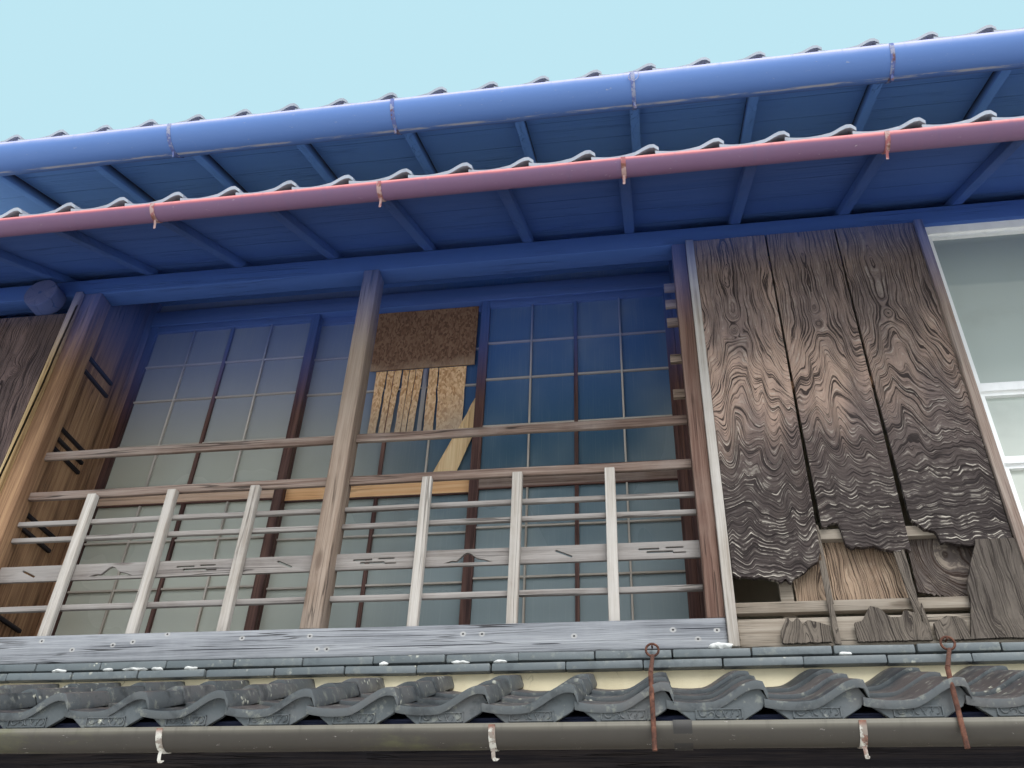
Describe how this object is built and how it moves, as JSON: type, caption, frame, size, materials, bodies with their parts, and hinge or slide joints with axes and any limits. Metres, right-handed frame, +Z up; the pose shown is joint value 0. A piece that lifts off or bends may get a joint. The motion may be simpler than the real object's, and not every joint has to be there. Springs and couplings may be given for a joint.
{
  "type": "machiya townhouse",
  "caption": "Two-storey timber row townhouse with an upper lattice gallery, board shutter boxes, tiled eaves and half-round gutters, hollow with both floors.",
  "frame": {"origin": "ground level under the centre of the whole object's box", "axes": "+X along the street front to the viewer's right, +Y from the street into the house, +Z up"},
  "size_m": [7.131, 8.307, 7.4925],
  "materials": {
    "granite": "rough split stone",
    "frame_wood": "dark weathered timber",
    "floor_wood": "worn boards",
    "joinery_wood": "brown weathered joinery",
    "sill_wood": "silver-grey weathered timber",
    "rail_wood": "grey-brown weathered timber",
    "pale_wood": "bleached timber",
    "board_wood": "deeply weathered grain",
    "repair_board": "raw sheet board",
    "plaster": "aged lime plaster",
    "glass": "dusty window glass",
    "frosted_glass": "frosted glass",
    "white_aluminium": "white coated",
    "tile": "smoked clay tile",
    "taupe_metal": "weathered gutter",
    "red_metal": "faded red gutter",
    "blue_metal": "slate blue gutter",
    "strap_metal": "white straps with rust",
    "rusty_iron": "rusted iron"
  },
  "bodies": {
    "root": {"foundation_stones": "granite", "ground_sills": "frame_wood", "ground_floor": "floor_wood", "ground_posts": "frame_wood", "ground_rails": "frame_wood", "ground_beams": "frame_wood", "ground_wall_panels": "plaster", "ground_lattice": "frame_wood", "ground_doors": "joinery_wood", "ground_glass": "glass", "party_wall_left": "plaster", "party_wall_right": "plaster", "floor_beams": "frame_wood", "rim_beams": "frame_wood", "upper_floor": "floor_wood", "sill_beam": "sill_wood", "bay_posts": "rail_wood", "corner_trims": "pale_wood", "railing_balusters": "pale_wood", "railing_rails": "rail_wood", "openwork_board": "rail_wood", "gallery_side_boards": "joinery_wood", "inner_posts": "frame_wood", "door_tracks": "joinery_wood", "glass_door_left": "joinery_wood", "glass_door_middle": "joinery_wood", "glass_door_right": "joinery_wood", "door_glass": "glass", "repair_boards": "repair_board", "shutter_boards_left": "board_wood", "shutter_boards_right": "board_wood", "shutter_battens": "joinery_wood", "upper_wall_panels": "plaster", "side_window_frame": "white_aluminium", "side_window_glass": "frosted_glass", "rear_windows": "joinery_wood", "rear_glass": "glass", "eave_beam": "frame_wood", "log_end": "frame_wood", "return_battens": "frame_wood", "wall_plates": "frame_wood", "roof_purlins": "frame_wood", "low_rafters": "frame_wood", "low_deck": "frame_wood", "low_tiles": "tile", "plaster_band": "plaster", "ridge_courses": "tile", "low_gutter": "taupe_metal", "iron_hooks": "rusty_iron", "pent_rafters": "frame_wood", "pent_deck": "frame_wood", "pent_tiles": "tile", "pent_gutter": "red_metal", "main_rafters": "frame_wood", "main_deck": "frame_wood", "main_tiles": "tile", "main_ridge": "tile", "main_gutters": "blue_metal", "gutter_straps": "strap_metal"}
  },
  "joints": []
}
